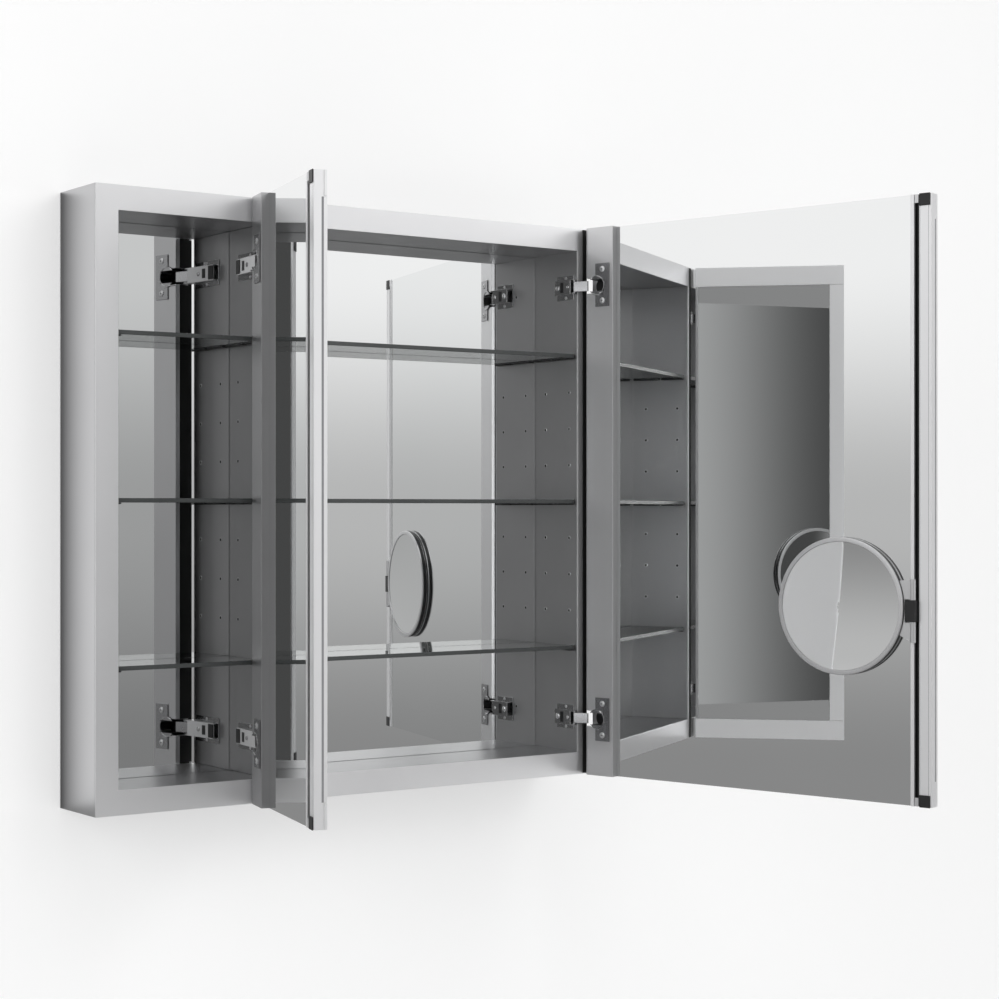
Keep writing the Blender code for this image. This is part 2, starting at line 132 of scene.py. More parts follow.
def studio_world():
    """A pale studio that is bright overhead, dim below and dark behind the camera."""
    world = bpy.data.worlds.new("studio")
    bpy.context.scene.world = world
    world.use_nodes = True
    nodes, links = world.node_tree.nodes, world.node_tree.links
    nodes.clear()
    output = nodes.new("ShaderNodeOutputWorld")
    background = nodes.new("ShaderNodeBackground")
    links.new(background.outputs[0], output.inputs["Surface"])
    coords = nodes.new("ShaderNodeTexCoord")
    direction = coords.outputs["Generated"]
    color = sky_by_height(nodes, links, direction)
    level = nodes.new("ShaderNodeVectorMath")
    level.operation = "MULTIPLY"
    level.inputs[1].default_value = (1.0, 1.0, 0.0)
    links.new(direction, level.inputs[0])
    bearing = nodes.new("ShaderNodeVectorMath")
    bearing.operation = "NORMALIZE"
    links.new(level.outputs[0], bearing.inputs[0])
    for side in SIDES:
        color = blend_side(nodes, links, bearing.outputs[0], color, side)
    path = nodes.new("ShaderNodeLightPath")
    seen = nodes.new("ShaderNodeMix")
    seen.data_type = "RGBA"
    seen.inputs["B"].default_value = grey(BACKDROP_GREY)
    links.new(path.outputs["Is Camera Ray"], seen.inputs["Factor"])
    links.new(color, seen.inputs["A"])
    links.new(seen.outputs["Result"], background.inputs["Color"])


def sky_by_height(nodes, links, direction):
    """The grey of the surroundings by height above the horizon."""
    split = nodes.new("ShaderNodeSeparateXYZ")
    links.new(direction, split.inputs[0])
    height = nodes.new("ShaderNodeMapRange")
    height.inputs["From Min"].default_value = -0.5
    height.inputs["From Max"].default_value = 0.5
    links.new(split.outputs["Z"], height.inputs["Value"])
    ramp = nodes.new("ShaderNodeValToRGB")
    ramp.color_ramp.interpolation = "EASE"
    stops = ramp.color_ramp.elements
    for index, (position, value) in enumerate(SKY):
        stop = stops[index] if index < 2 else stops.new(position)
        stop.position = position
        stop.color = grey(value)
    links.new(height.outputs[0], ramp.inputs["Fac"])
    return ramp.outputs["Color"]


def blend_side(nodes, links, bearing, color, side):
    """Fades the surroundings to one grey around a compass bearing."""
    middle, outer, inner, value, strength = side
    facing = nodes.new("ShaderNodeVectorMath")
    facing.operation = "DOT_PRODUCT"
    facing.inputs[1].default_value = (math.cos(math.radians(middle)), math.sin(math.radians(middle)), 0.0)
    links.new(bearing, facing.inputs[0])
    lobe = nodes.new("ShaderNodeMapRange")
    lobe.interpolation_type = "SMOOTHSTEP"
    lobe.inputs["From Min"].default_value = math.cos(math.radians(outer))
    lobe.inputs["From Max"].default_value = math.cos(math.radians(inner))
    lobe.inputs["To Max"].default_value = strength
    links.new(facing.outputs["Value"], lobe.inputs["Value"])
    mix = nodes.new("ShaderNodeMix")
    mix.data_type = "RGBA"
    mix.inputs["B"].default_value = grey(value)
    links.new(lobe.outputs[0], mix.inputs["Factor"])
    links.new(color, mix.inputs["A"])
    return mix.outputs["Result"]


def shader_of(material):
    """The node that gives a material its surface."""
    return material.node_tree.nodes["Principled BSDF"]


def plain_surface(name, value, roughness):
    """A matt grey paint."""
    material = bpy.data.materials.new(name)
    material.use_nodes = True
    shader = shader_of(material)
    shader.inputs["Base Color"].default_value = grey(value)
    shader.inputs["Roughness"].default_value = roughness
    return material


def stage_sheet(name, across, along, offset, upright, material):
    """A flat sheet of the studio: upright at a depth, or lying at a height."""
    sheet = bmesh.new()
    bmesh.ops.create_grid(sheet, x_segments=1, y_segments=1, size=0.5)
    size = (across[1] - across[0], along[1] - along[0], 1.0)
    middle = ((across[0] + across[1]) / 2, (along[0] + along[1]) / 2, 0.0)
    bmesh.ops.scale(sheet, vec=size, verts=sheet.verts)
    bmesh.ops.translate(sheet, vec=middle, verts=sheet.verts)
    if upright:
        bmesh.ops.rotate(sheet, matrix=Matrix.Rotation(math.radians(90), 3, "X"), verts=sheet.verts)
        bmesh.ops.translate(sheet, vec=(0.0, offset, 0.0), verts=sheet.verts)
    else:
        bmesh.ops.translate(sheet, vec=(0.0, 0.0, offset), verts=sheet.verts)
    piece = finish_mesh(name, sheet, material)
    return piece


def finish_mesh(name, mesh, material, smooth=False):
    """Turns a bmesh into an object of the scene."""
    data = bpy.data.meshes.new(name)
    mesh.to_mesh(data)
    mesh.free()
    piece = bpy.data.objects.new(name, data)
    bpy.context.scene.collection.objects.link(piece)
    data.materials.append(material)
    if smooth:
        data.shade_smooth()
        data.set_sharp_from_angle(angle=math.radians(35))
    return piece


def painted_reflection_card():
    """A glowing card beside the cabinet that only reflections see: a painted reflection in the side panel,
    dark close to the panel as painted shade.
    """
    material = bpy.data.materials.new("painted_shade_card")
    material.use_nodes = True
    nodes, links = material.node_tree.nodes, material.node_tree.links
    nodes.clear()
    output = nodes.new("ShaderNodeOutputMaterial")
    glow = nodes.new("ShaderNodeEmission")
    links.new(glow.outputs[0], output.inputs["Surface"])
    coords = nodes.new("ShaderNodeTexCoord")
    split = nodes.new("ShaderNodeSeparateXYZ")
    links.new(coords.outputs["Object"], split.inputs[0])
    side = BACK_LOW[0]
    fade = nodes.new("ShaderNodeMapRange")
    fade.inputs["From Min"].default_value = side - CARD_FADE[0]
    fade.inputs["From Max"].default_value = side - CARD_FADE[1]
    fade.inputs["To Min"].default_value = CARD_GLOWS_SHADE_TO_LIGHT[0]
    fade.inputs["To Max"].default_value = CARD_GLOWS_SHADE_TO_LIGHT[1]
    links.new(split.outputs["X"], fade.inputs["Value"])
    links.new(fade.outputs[0], glow.inputs["Strength"])
    across = (side - CARD_REACH, side - CARD_GAP)
    up = (BACK_LOW[2], BACK_HIGH[2])
    card = stage_sheet("painted_shade_card", across, up, BACK_HIGH[1] + CARD_GAP, True, material)
    card.visible_camera = False
    card.visible_diffuse = False
    card.visible_shadow = False
    card.visible_transmission = False


def show_from_front_only(material):
    """Lets a view from behind the wall see the cabinet's back."""
    nodes, links = material.node_tree.nodes, material.node_tree.links
    side = nodes.new("ShaderNodeNewGeometry")
    clear = nodes.new("ShaderNodeBsdfTransparent")
    mix = nodes.new("ShaderNodeMixShader")
    links.new(side.outputs["Backfacing"], mix.inputs[0])
    links.new(shader_of(material).outputs[0], mix.inputs[1])
    links.new(clear.outputs[0], mix.inputs[2])
    links.new(mix.outputs[0], nodes["Material Output"].inputs["Surface"])


def build_studio():
    """The wall, the floor, the lamps and the surroundings that the mirrors reflect."""
    studio_world()
    painted_reflection_card()
    wall = plain_surface("wall_paint", WALL_GREY, 0.9)
    glow = shader_of(wall)
    glow.inputs["Emission Color"].default_value = grey(1.0)
    glow.inputs["Emission Strength"].default_value = WALL_GLOW
    show_from_front_only(wall)
    floor = plain_surface("floor_paint", FLOOR_GREY, 0.8)
    wall_sheet = stage_sheet("studio_wall", WALL_ACROSS, WALL_UP, BACK_HIGH[1] + WALL_GAP, True, wall)
    floor_sheet = stage_sheet("studio_floor", FLOOR_ACROSS, FLOOR_DEEP, FLOOR_HEIGHT, False, floor)
    lamps = [soft_light(*lamp) for lamp in LAMPS]
    for unseen in [wall_sheet, floor_sheet] + lamps:
        unseen.visible_glossy = False
        unseen.visible_transmission = False
    wall_sheet.visible_diffuse = False
    bpy.context.scene.view_settings.view_transform = "Standard"


# ---- materials ----

UPRIGHT = (2400.0, 2400.0, 60.0)
ALONG = (60.0, 2400.0, 2400.0)
# Name, dark and light colour, roughness, direction of the grain, its relief and how metallic it is.
METALS = {
    "aluminium": ("satin_aluminium", (0.60, 0.60, 0.61), (0.66, 0.66, 0.67), 0.34, UPRIGHT, 0.02, 1.0),
    # A lighter, partly diffuse copy of the satin aluminium for the front frame: its lightness is painted
    # light.
    "front": ("front_aluminium", (0.76, 0.76, 0.77), (0.82, 0.82, 0.83), 0.32, ALONG, 0.0, 0.7),
    # A paler, partly diffuse aluminium for the handle stiles and rails: partly a matt finish of their own,
    # partly painted light.
    "bright": ("bright_aluminium", (0.91, 0.91, 0.92), (0.95, 0.95, 0.96), 0.3, UPRIGHT, 0.0, 0.55),
    # A lighter, partly diffuse copy of the satin aluminium for the right door's hinge stile only: its
    # lightness is painted light.
    "stile": ("stile_aluminium", (0.72, 0.72, 0.73), (0.80, 0.80, 0.81), 0.3, UPRIGHT, 0.0, 0.75),
    "nickel": ("nickel_plate", (0.66, 0.66, 0.67), (0.80, 0.80, 0.81), 0.16, ALONG, 0.08, 1.0),
    "dark_nickel": ("dark_nickel", (0.36, 0.36, 0.37), (0.46, 0.46, 0.47), 0.26, ALONG, 0.06, 1.0),
    "ring": ("ring_nickel", (0.70, 0.70, 0.71), (0.78, 0.78, 0.79), 0.3, UPRIGHT, 0.0, 0.75),
    # A half-diffuse copy of the nickel for the left hinge arms only: painted light.
    "arm": ("arm_nickel", (0.66, 0.66, 0.67), (0.74, 0.74, 0.75), 0.28, UPRIGHT, 0.0, 0.5),
}
# Name, dark and light colour, roughness.
PLASTICS = {
    "glass_edge": ("ground_glass_edge", (0.05, 0.055, 0.055), (0.09, 0.095, 0.095), 0.25),
    # Black for the plastic parts, and painted shade in the pin holes, the screw slots and the arm slots.
    "black_plastic": ("black_plastic", (0.012, 0.012, 0.013), (0.022, 0.022, 0.023), 0.4),
    # Black for the hinge stiles' faces at their hinge edge.
    "rubber": ("black_rubber", (0.01, 0.01, 0.01), (0.02, 0.02, 0.02), 0.65),
    "door_core": ("core_board", (0.20, 0.20, 0.21), (0.28, 0.28, 0.29), 0.5),
}
GRAINED_VARIATION = 0.1
SMOOTH_VARIATION = 0.02
PLASTIC_VARIATION = 0.15
METAL_RELIEF = 0.00004
PLASTIC_RELIEF = 0.0002
NOISE_RANGE = (0.3, 0.7)


def new_group(name, inputs, outputs):
    """An empty shader group with named sockets, and its two end nodes."""
    group = bpy.data.node_groups.new(name, "ShaderNodeTree")
    for label, kind, value in inputs:
        socket = group.interface.new_socket(label, in_out="INPUT", socket_type=kind)
        socket.default_value = value
    for label, kind in outputs:
        group.interface.new_socket(label, in_out="OUTPUT", socket_type=kind)
    return group, group.nodes.new("NodeGroupInput"), group.nodes.new("NodeGroupOutput")


def grain_group():
    """Fine drawn grain and slow cloudiness, shared by every finish."""
    group, inside, outside = new_group(
        "drawn_grain",
        [("Grain Size", "NodeSocketVector", (60.0, 60.0, 3000.0)), ("Cloud Scale", "NodeSocketFloat", 9.0)],
        [("Grain", "NodeSocketFloat"), ("Cloud", "NodeSocketFloat")],
    )
    nodes, links = group.nodes, group.links
    coords = nodes.new("ShaderNodeTexCoord")
    stretch = nodes.new("ShaderNodeVectorMath")
    stretch.operation = "MULTIPLY"
    links.new(coords.outputs["Object"], stretch.inputs[0])
    links.new(inside.outputs["Grain Size"], stretch.inputs[1])
    grain = nodes.new("ShaderNodeTexNoise")
    grain.inputs["Scale"].default_value = 1.0
    grain.inputs["Detail"].default_value = 3.0
    links.new(stretch.outputs[0], grain.inputs["Vector"])
    cloud = nodes.new("ShaderNodeTexNoise")
    cloud.inputs["Detail"].default_value = 2.0
    links.new(coords.outputs["Object"], cloud.inputs["Vector"])
    links.new(inside.outputs["Cloud Scale"], cloud.inputs["Scale"])
    links.new(grain.outputs[0], outside.inputs["Grain"])
    links.new(cloud.outputs[0], outside.inputs["Cloud"])
    return group


def new_material(name, grain):
    """A material with the grain group ready to be wired to its shader."""
    material = bpy.data.materials.new(name)
    material.use_nodes = True
    pattern = material.node_tree.nodes.new("ShaderNodeGroup")
    pattern.node_tree = grain
    return material, pattern


def spread(material, source, low, high):
    """Maps a mask onto a range."""
    node = material.node_tree.nodes.new("ShaderNodeMapRange")
    node.inputs["From Min"].default_value = NOISE_RANGE[0]
    node.inputs["From Max"].default_value = NOISE_RANGE[1]
    node.inputs["To Min"].default_value = low
    node.inputs["To Max"].default_value = high
    material.node_tree.links.new(source, node.inputs["Value"])
    return node.outputs[0]


def tint(material, source, dark, light):
    """Blends from one colour to another by a mask."""
    node = material.node_tree.nodes.new("ShaderNodeMix")
    node.data_type = "RGBA"
    node.inputs["A"].default_value = (*dark, 1.0)
    node.inputs["B"].default_value = (*light, 1.0)
    material.node_tree.links.new(source, node.inputs["Factor"])
    return node.outputs["Result"]


def colour_and_gloss(material, colour, roughness):
    """Wires a colour and a roughness to the shader."""
    links = material.node_tree.links
    links.new(colour, shader_of(material).inputs["Base Color"])
    links.new(roughness, shader_of(material).inputs["Roughness"])


def add_relief(material, source, strength, distance):
    """Raises the surface's shading by a mask."""
    relief = material.node_tree.nodes.new("ShaderNodeBump")
    relief.inputs["Strength"].default_value = strength
    relief.inputs["Distance"].default_value = distance
    links = material.node_tree.links
    links.new(source, relief.inputs["Height"])
    links.new(relief.outputs[0], shader_of(material).inputs["Normal"])


def metal(name, dark, light, roughness, grain_size, relief, metallic, grain):
    """A drawn, satin or plated metal."""
    material, pattern = new_material(name, grain)
    shader_of(material).inputs["Metallic"].default_value = metallic
    pattern.inputs["Grain Size"].default_value = grain_size
    vary = GRAINED_VARIATION if relief > 0.0 else SMOOTH_VARIATION
    colour = tint(material, pattern.outputs["Cloud"], dark, light)
    rough = spread(material, pattern.outputs["Grain"], roughness * (1.0 - vary), roughness * (1.0 + vary))
    colour_and_gloss(material, colour, rough)
    if relief > 0.0:
        add_relief(material, pattern.outputs["Grain"], relief, METAL_RELIEF)
    return material


def mirror(grain):
    """Silvered glass with the faintest haze."""
    material, pattern = new_material("silvered_mirror", grain)
    shader_of(material).inputs["Metallic"].default_value = 1.0
    pattern.inputs["Cloud Scale"].default_value = 4.0
    cloud = pattern.outputs["Cloud"]
    colour = tint(material, cloud, (0.90, 0.91, 0.91), (0.93, 0.935, 0.935))
    colour_and_gloss(material, colour, spread(material, cloud, 0.0, 0.012))
    return material


def shelf_glass(grain):
    """Clear glass with a slight green tint."""
    material, pattern = new_material("shelf_glass", grain)
    shader = shader_of(material)
    shader.inputs["Transmission Weight"].default_value = 1.0
    shader.inputs["IOR"].default_value = 1.5
    cloud = pattern.outputs["Cloud"]
    colour = tint(material, cloud, (0.80, 0.84, 0.83), (0.86, 0.89, 0.88))
    colour_and_gloss(material, colour, spread(material, cloud, 0.0, 0.03))
    return material


def plastic(name, dark, light, roughness, grain):
    """A moulded or pressed surface with a fine even texture."""
    material, pattern = new_material(name, grain)
    pattern.inputs["Grain Size"].default_value = (1800.0, 1800.0, 1800.0)
    texture = pattern.outputs["Grain"]
    low, high = roughness * (1.0 - PLASTIC_VARIATION), roughness * (1.0 + PLASTIC_VARIATION)
    colour = tint(material, pattern.outputs["Cloud"], dark, light)
    colour_and_gloss(material, colour, spread(material, texture, low, high))
    add_relief(material, texture, 0.25, PLASTIC_RELIEF)
    return material


def build_materials():
    """Every finish of the cabinet by its short name."""
    grain = grain_group()
    materials = {key: metal(*finish, grain) for key, finish in METALS.items()}
    materials["mirror"] = mirror(grain)
    materials["glass"] = shelf_glass(grain)
    for key, finish in PLASTICS.items():
        materials[key] = plastic(*finish, grain)
    return materials


# ---- shapes, in millimetres ----

def round_edges(shape, edges, width):
    """Rounds edges in two steps."""
    bmesh.ops.bevel(
        shape, geom=edges, offset=width, offset_type="OFFSET", affect="EDGES",
        segments=2, profile=0.5, material=-1, clamp_overlap=True,
    )


def block(low, high, rounding):
    """A box between two corners with rounded edges."""
    shape = bmesh.new()
    size = [top - bottom for bottom, top in zip(low, high)]
    middle = [(bottom + top) / 2 for bottom, top in zip(low, high)]
    bmesh.ops.create_cube(shape, size=1.0)
    bmesh.ops.scale(shape, vec=size, verts=shape.verts)
    bmesh.ops.translate(shape, vec=middle, verts=shape.verts)
    round_edges(shape, list(shape.edges), rounding)
    return shape


def turned(profile, steps):
    """A round shape about Z from (radius, height) points; a profile off the axis closes on itself."""
    shape = bmesh.new()
    points = [shape.verts.new((radius, 0.0, height)) for radius, height in profile]
    edges = [shape.edges.new(pair) for pair in zip(points, points[1:])]
    if profile[0][0] > 0.0:
        edges.append(shape.edges.new((points[-1], points[0])))
    bmesh.ops.spin(
        shape, geom=points + edges, cent=(0.0, 0.0, 0.0), axis=(0.0, 0.0, 1.0), angle=math.tau,
        steps=steps, use_merge=True, use_duplicate=False,
    )
    bmesh.ops.remove_doubles(shape, verts=shape.verts, dist=0.0001)
    bmesh.ops.recalc_face_normals(shape, faces=shape.faces)
    return shape


def pointed(shape, place, direction):
    """Moves a shape so that its Z axis starts at a place and points one way."""
    turn = Vector(direction).to_track_quat("Z", "Y").to_matrix().to_4x4()
    shape.transform(Matrix.Translation(place) @ turn)
    return shape


def rod(start, end, radius):
    """A round bar with softened ends between two points."""
    way = Vector(end) - Vector(start)
    soft = radius * 0.3
    profile = [
        (0.0, 0.0), (radius - soft, 0.0), (radius, soft), (radius, way.length - soft),
        (radius - soft, way.length), (0.0, way.length),
    ]
    return pointed(turned(profile, 16), start, way)


def screw_head(centre, normal, radius):
    """A low domed screw head standing on a face."""
    rise = radius * 0.28
    profile = [
        (0.0, rise * 0.55), (radius * 0.22, rise * 0.55), (radius * 0.34, rise),
        (radius * 0.7, rise * 0.85), (radius * 0.95, rise * 0.35), (radius, 0.0),
        (radius, -rise), (0.0, -rise),
    ]
    return pointed(turned(profile, 20), centre, normal)


def gather(name, shapes, frame_matrix, material, body):
    """Joins shapes built in millimetres into one piece of the scene."""
    whole = bmesh.new()
    for shape in shapes:
        shape.transform(frame_matrix)
        scratch = bpy.data.meshes.new("scratch")
        shape.to_mesh(scratch)
        shape.free()
        whole.from_mesh(scratch)
        bpy.data.meshes.remove(scratch)
    piece = finish_mesh(name, whole, material, smooth=True)
    even_shading(piece)
    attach(piece, body)
    return piece


def even_shading(piece):
    """Keeps wide flat faces looking flat beside their rounded edges."""
    even = piece.modifiers.new("even_shading", "WEIGHTED_NORMAL")
    even.weight = 100
    even.keep_sharp = True


# ---- frames the details are measured in, in millimetres and degrees ----

CABINET_FRAME = Matrix.Scale(MM, 4)
# Each door: its hinge edge when shut, its upright axis, how far it stands open and its width.
DOORS = {
    "left": {"edge": -142.0, "pivot": (-154.18, -115.97), "turn": 75.08, "width": 235.5},
    "right": {"edge": 377.5, "pivot": (375.91, -109.92), "turn": 105.37, "width": 514.4},
}
INNER_FACE = -110.8
HINGE_HEIGHTS = {"top": 300.0, "bottom": -302.0}
# Each hinge arm: its tip, how it leans, its length and the wall that its plate is on.
ARMS = {
    "left": {"axis": (-151.0, -96.0), "lean": -7.0, "length": 64.0, "wall": -141.6},
    "right": {"axis": (359.5, -97.0), "lean": 0.0, "length": 40.0, "wall": 364.0},
}
# The left and right wall of each compartment.
COMPARTMENTS = ((-349.4, -141.6), (-128.9, 364.0))


def door_frame(side):
    """From a door's own width, depth and height in millimetres to the scene."""
    door = DOORS[side]
    pivot = Vector((*door["pivot"], 0.0)) * MM
    shut = Vector((door["edge"], INNER_FACE, 0.0)) * MM - pivot
    swung = Matrix.Translation(pivot) @ Matrix.Rotation(math.radians(door["turn"]), 4, "Z")
    return swung @ Matrix.Translation(shut) @ Matrix.Rotation(math.pi, 4, "Z") @ Matrix.Scale(MM, 4)


def arm_frame(side, height):
    """From a hinge arm's own millimetres, measured from the tip's pivot, to the scene."""
    arm = ARMS[side]
    tip = Vector((*arm["axis"], height)) * MM
    lean = Matrix.Rotation(math.radians(arm["lean"]), 4, "Z")
    return Matrix.Translation(tip) @ lean @ Matrix.Scale(MM, 4)


# ---- pieces grown from the CAD nodes ----

PIECE_ROUNDING = 0.4
MIRROR_ROUNDING = 0.2
SHELF_ROUNDING = 0.5
FLANGE_START = -9.5
HINGE_EDGE_DEPTH = 0.05
MAGNIFIER_CENTRE = (393.0, -5.0, -134.0)
TURNED_NODES = ("magnifier_ring", "magnifier_back_plate", "magnifier_mirror")


def copied(node):
    """The CAD node's shape with its flat faces merged."""
    shape = bmesh.new()
    shape.from_mesh(frame["nodes"][node].data)
    bmesh.ops.remove_doubles(shape, verts=shape.verts, dist=0.00001)
    bmesh.ops.dissolve_limit(
        shape, angle_limit=math.radians(1), verts=shape.verts, edges=shape.edges, delimit=set()
    )
    return shape


def refined(node, width, material):
    """A copy of a CAD node with its edges rounded."""
    shape = copied(node)
    limit = math.radians(30)
    sharp = [edge for edge in shape.edges if edge.is_manifold and edge.calc_face_angle() > limit]
    round_edges(shape, sharp, width * MM)
    piece = finish_mesh(node + "_finished", shape, material, smooth=True)
    even_shading(piece)
    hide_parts(node)
    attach(piece, BODY_OF[node])
    return piece


def give_second_material(piece, material, chosen):
    """Puts another material on the faces that a test picks out."""
    piece.data.materials.append(material)
    for face in piece.data.polygons:
        if chosen(face):
            face.material_index = 1


def finish_for(node, materials):
    """The material of a piece: its slot's, unless the piece has a finish of its own or a lighter copy of
    the metal that paints light.
    """
    # The front frame gets a lighter copy of the aluminium: painted light.
    if node == "front_frame":
        return materials["front"]
    # The right door's hinge stile gets the lighter copy, the left one keeps the satin aluminium: painted
    # light.
    if node == "right_door_hinge_stile":
        return materials["stile"]
    # Handle stiles and rails: partly their own matt finish, partly painted light.
    if "handle_stile" in node or "rail" in node:
        return materials["bright"]
    # Only the left hinge arms get the half-diffuse nickel copy: painted light.
    if node.startswith("left_hinge") and node.endswith("_arm"):
        return materials["arm"]
    if node.endswith("_link"):
        return materials["dark_nickel"]
    if "bracket" in node:
        return materials["ring"]
    return materials[SLOTS[node]]


def plain_pieces(materials):
    """Every piece that keeps its CAD shape with one finish."""
    for node, slot_name in SLOTS.items():
        if node in TURNED_NODES or node.endswith("_cup") or node.startswith("shelf"):
            continue
        rounding = MIRROR_ROUNDING if slot_name == "mirror" else PIECE_ROUNDING
        piece = refined(node, rounding, finish_for(node, materials))
        if node.endswith("hinge_stile"):
            blacken_edge(piece, BODY_OF[node].split("_")[0], materials)


def hinge_cup(side, end, materials):
    """The cup: black inside the door, with a nickel flange on the stile's face."""
    piece = refined("{}_hinge_{}_cup".format(side, end), PIECE_ROUNDING, materials["black_plastic"])
    inward = door_frame(side).inverted()
    give_second_material(
        piece, materials["dark_nickel"], lambda face: (inward @ face.center).y < FLANGE_START
    )


def blacken_edge(piece, side, materials):
    """Colours black the faces of the stile that lie at its hinge edge."""
    inward = door_frame(side).inverted()
    give_second_material(piece, materials["rubber"], lambda face: (inward @ face.center).x < HINGE_EDGE_DEPTH)


def shelf(node, materials):
    """A glass shelf with dark ground edges."""
    piece = refined(node, SHELF_ROUNDING, materials["glass"])
    give_second_material(piece, materials["glass_edge"], lambda face: abs(face.normal.z) < 0.5)


def magnifier(materials):
    """The round frame with a black band, its back and the concave mirror."""
    upright = Matrix.Rotation(math.radians(-90), 4, "X")
    placed = door_frame("right") @ Matrix.Translation(MAGNIFIER_CENTRE) @ upright
    rim = 87.7
    lip = 82.0
    ring = [
        (lip + 0.3, -4.6), (rim - 1.2, -4.6), (rim - 0.4, -4.3), (rim, -3.6), (rim, 3.2), (rim - 0.8, 4.0),
        (lip + 0.3, 4.0), (lip, 3.7), (lip, -4.3),
    ]
    band = [(rim - 0.5, -2.6), (rim + 0.06, -2.6), (rim + 0.06, 2.8), (rim - 0.5, 2.8)]
    seat = lip - 0.3
    back = [(0.0, 4.0), (seat - 0.4, 4.0), (seat, 3.6), (seat, 2.4), (0.0, 2.4)]
    rings = 24
    hollow = 2.2
    bowl = [(seat * step / rings, -1.4 - hollow * (step / rings) ** 2) for step in range(rings + 1)]
    glass = [(0.0, 2.1), (seat, 2.1)] + bowl[::-1]
    profiles = (ring, back, glass)
    finishes = (materials["ring"], materials["nickel"], materials["mirror"])
    for node, profile, material in zip(TURNED_NODES, profiles, finishes):
        shape = turned(profile, 96)
        piece = gather(node + "_finished", [shape], placed, material, "magnifier")
        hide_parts(node)
    gather("magnifier_band", [turned(band, 96)], placed, materials["black_plastic"], "magnifier")


# ---- added details, in the millimetres of the frame they sit in ----

FLANGE_FACE = -10.8
CUP_ACROSS = 20.0
CUP_RIM_CUT = 10.2
FLANGE_SCREW_ACROSS = 30.0
FLANGE_SCREW_STEPS = (-21.8, 21.8)
SPRING_START = {"left": 1.0, "right": 14.6}
SPRING_RADIUS = 0.75
ARM_WEB = -4.9
# Black blocks in the arm's web stand in for its slots: painted shade.
# Along the arm: start and end, half height, how far out of and into the web, rounding.
ARM_SLOTS = {
    "left": ((36.5, 43.5, 6.2, 0.15, 0.6, 0.2), (50.5, 61.4, 9.0, 0.7, 0.8, 0.5)),
    "right": ((18.0, 25.0, 7.2, 0.15, 0.6, 0.2),),
}
# Along the arm: place and radius.
ARM_SCREWS = {"left": ((28.0, 3.0),), "right": ((31.0, 4.2), (9.0, 2.6))}
TIP_PIN_ENDS = ((-9.9, -7.3), (7.3, 9.9))
TIP_PIN_RADIUS = 1.5
PLATE_THICKNESS = 1.5
PLATE_SCREW_STEPS = (-13.8, 13.8)
PIN_COLUMNS = (-79.9, -26.9)
PIN_ROWS = range(-4, 5)
PIN_PITCH = 51.0
FITTING_HOLES = [(-49.0, 297.0), (-49.0, -297.0)]
SHELF_PITCH = 204.0
SHELF_LEVELS = (-1, 0, 1)
SHELF_DROP = 3.0
REST_LENGTH = 8.0
REST_THICKNESS = 1.8
REST_SPANS = ((-91.0, -55.0), (-51.0, -8.0))
STILE_TOP = 380.2
MIRROR_TOP = 349.0
TRACK_EDGES = (22.3, 17.3)
PLUG_LENGTH = 10.8
STILE_LINES = ((15.7, 15.3), (4.2, 3.8))
LINE_ROUNDING = 0.02


def cup_details(side, end, materials):
    """Screws in the cup's flange, the cup's rim and the spring arm below the link."""
    height = HINGE_HEIGHTS[end]
    placed = door_frame(side)
    body = side + "_door"
    name = "{}_hinge_{}".format(side, end)
    out = (0.0, -1.0, 0.0)
    screws = [
        screw_head((FLANGE_SCREW_ACROSS, FLANGE_FACE, height + step), out, 4.3)
        for step in FLANGE_SCREW_STEPS
    ]
    gather(name + "_cup_screws", screws, placed, materials["ring"], body)
    spring = [
        rod((SPRING_START[side], -10.4, height - 11.4), (17.0, -10.7, height - 12.4), SPRING_RADIUS),
        rod((16.8, -10.7, height - 12.4), (26.0, -10.9, height - 14.6), SPRING_RADIUS),
    ]
    gather(name + "_spring_arm", spring, placed, materials["nickel"], body)
    gather(name + "_cup_rim", [cup_rim(height, out)], placed, materials["nickel"], body)
    # Black bars across the flange screws: painted shade in their slots.
    half = 0.35
    slots = [
        block((28.4, -12.2, height + step - half), (31.6, -11.4, height + step + half), 0.1)
        for step in FLANGE_SCREW_STEPS
    ]
    gather(name + "_screw_slot_shades", slots, placed, materials["black_plastic"], body)


def cup_rim(height, out):
    """A raised ring around the cup, cut away on the side that faces the link."""
    rim = turned([(12.5, -0.2), (12.5, 0.45), (12.8, 0.6), (13.2, 0.35), (13.3, -0.2)], 48)
    pointed(rim, (CUP_ACROSS, FLANGE_FACE, height), out)
    everything = rim.verts[:] + rim.edges[:] + rim.faces[:]
    bmesh.ops.bisect_plane(
        rim, geom=everything, plane_co=(CUP_RIM_CUT, 0.0, 0.0), plane_no=(-1.0, 0.0, 0.0),
        clear_outer=True,
    )
    bmesh.ops.holes_fill(rim, edges=rim.edges, sides=0)
    bmesh.ops.recalc_face_normals(rim, faces=rim.faces)
    return rim


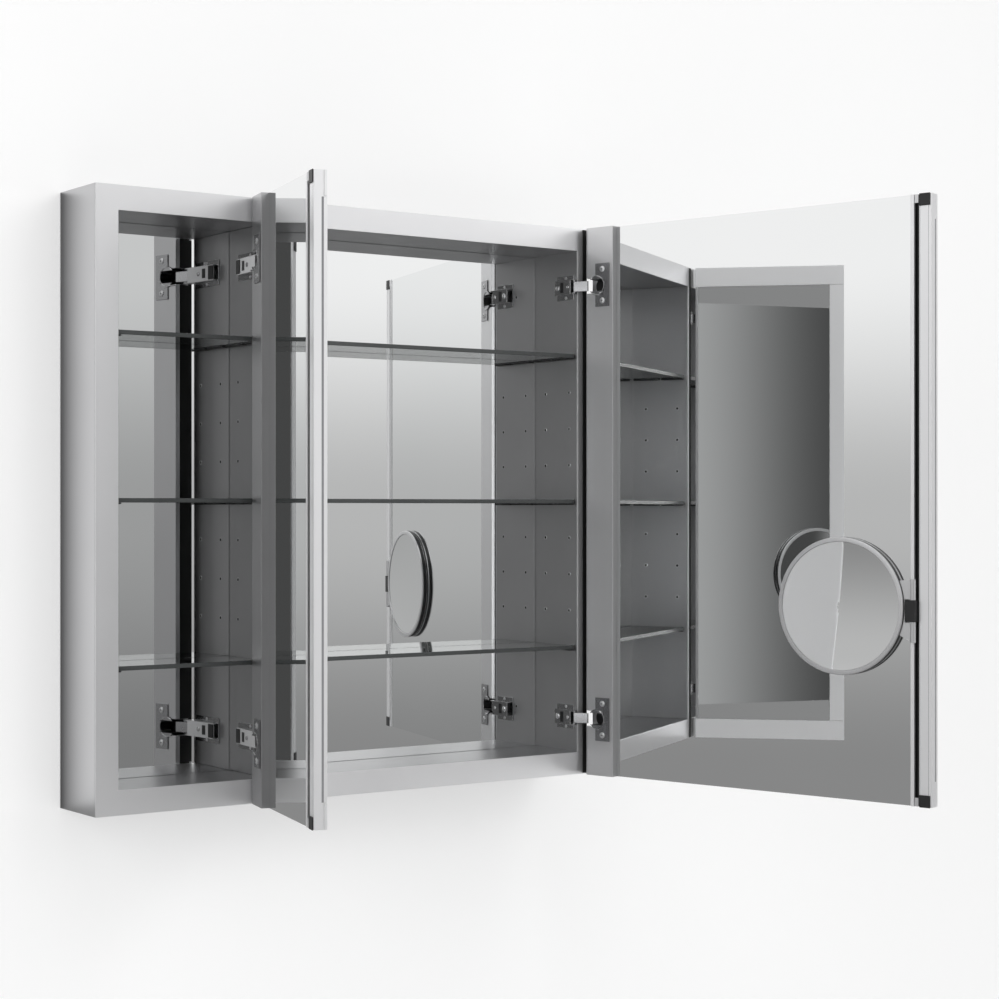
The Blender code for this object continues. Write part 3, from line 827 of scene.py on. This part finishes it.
def arm_details(side, end, materials):
    """Black blocks for a hinge arm's slots (painted shade), its screws, the pin at its tip and the screws
    of its plate.
    """
    height = HINGE_HEIGHTS[end]
    placed = arm_frame(side, height)
    name = "{}_hinge_{}".format(side, end)
    outwards = (-1.0, 0.0, 0.0)
    slots = [
        block((ARM_WEB - out, start, -half), (ARM_WEB + deep, stop, half), rounding)
        for start, stop, half, out, deep, rounding in ARM_SLOTS[side]
    ]
    screws = [screw_head((ARM_WEB, place, 0.0), outwards, radius) for place, radius in ARM_SCREWS[side]]
    gather(name + "_arm_slot_shades", slots, placed, materials["black_plastic"], "cabinet")
    gather(name + "_arm_screws", screws, placed, materials["nickel"], "cabinet")
    pins = [rod((0.0, 0.0, low), (0.0, 0.0, high), TIP_PIN_RADIUS) for low, high in TIP_PIN_ENDS]
    gather(name + "_tip_pins", pins, placed, materials["ring"], "cabinet")
    arm = ARMS[side]
    face = arm["wall"] - PLATE_THICKNESS
    middle = arm["axis"][1] + arm["length"] * 0.55
    heads = [screw_head((face, middle, height + step), outwards, 2.4) for step in PLATE_SCREW_STEPS]
    gather(name + "_plate_screws", heads, CABINET_FRAME, materials["ring"], "cabinet")


def pin_hole_shades(materials):
    """Rows of small shelf-pin holes on both walls of each compartment: a black disc in each paints the
    shade inside the hole, under a nickel rim.
    """
    holes = []
    rims = []
    spots = [(y, PIN_PITCH * row) for y in PIN_COLUMNS for row in PIN_ROWS]
    hinge_wall = COMPARTMENTS[1][1]
    walls = [(wall, facing) for pair in COMPARTMENTS for wall, facing in zip(pair, (1.0, -1.0))]
    for wall, facing in walls:
        turn = Matrix.Rotation(math.radians(90.0 * facing), 4, "Y")
        for y, z in spots + (FITTING_HOLES if wall == hinge_wall else []):
            # A shallow black disc standing for the hole: painted shade.
            hole = turned([(0.0, 0.12), (1.9, 0.12), (2.1, -0.2), (0.0, -0.2)], 12)
            rim = turned([(2.1, -0.2), (2.15, 0.18), (2.6, 0.26), (3.0, 0.0), (3.0, -0.2)], 12)
            for shape in (hole, rim):
                shape.transform(Matrix.Translation((wall, y, z)) @ turn)
            holes.append(hole)
            rims.append(rim)
    gather("pin_hole_shades", holes, CABINET_FRAME, materials["black_plastic"], "cabinet")
    gather("pin_hole_rims", rims, CABINET_FRAME, materials["ring"], "cabinet")


def shelf_rests(materials):
    """Black rests under both ends of every shelf."""
    rests = []
    for low, high in COMPARTMENTS:
        for level in SHELF_LEVELS:
            top = level * SHELF_PITCH - SHELF_DROP
            for start, stop in ((low, low + REST_LENGTH), (high - REST_LENGTH, high)):
                for front, back in REST_SPANS:
                    rests.append(block((start, front, top - REST_THICKNESS), (stop, back, top), 0.6))
    gather("shelf_rests", rests, CABINET_FRAME, materials["black_plastic"], "cabinet")


def handle_details(side, materials):
    """End plugs in the track's groove and fine lines along the handle stile."""
    free = DOORS[side]["width"]
    placed = door_frame(side)
    body = side + "_door"
    plugs = [
        block((free - TRACK_EDGES[0], -0.9, low), (free - TRACK_EDGES[1], 0.2, low + PLUG_LENGTH), 0.3)
        for low in (STILE_TOP - PLUG_LENGTH, -STILE_TOP)
    ]
    gather(side + "_track_plugs", plugs, placed, materials["ring"], body)
    lines = [
        block((free - start, -0.05, -STILE_TOP), (free - stop, 0.1, STILE_TOP), LINE_ROUNDING)
        for start, stop in STILE_LINES
    ]
    lines.append(block((free - 0.1, 9.4, -MIRROR_TOP), (free + 0.02, 12.1, MIRROR_TOP), LINE_ROUNDING))
    gather(side + "_handle_lines", lines, placed, materials["door_core"], body)


def main():
    """Builds the studio, the cabinet's pieces and their details."""
    materials = build_materials()
    build_studio()
    look_at_cabinet()
    plain_pieces(materials)
    for side in DOORS:
        for end in HINGE_HEIGHTS:
            hinge_cup(side, end, materials)
            cup_details(side, end, materials)
            arm_details(side, end, materials)
        handle_details(side, materials)
    for node in SLOTS:
        if node.startswith("shelf"):
            shelf(node, materials)
    magnifier(materials)
    pin_hole_shades(materials)
    shelf_rests(materials)


main()
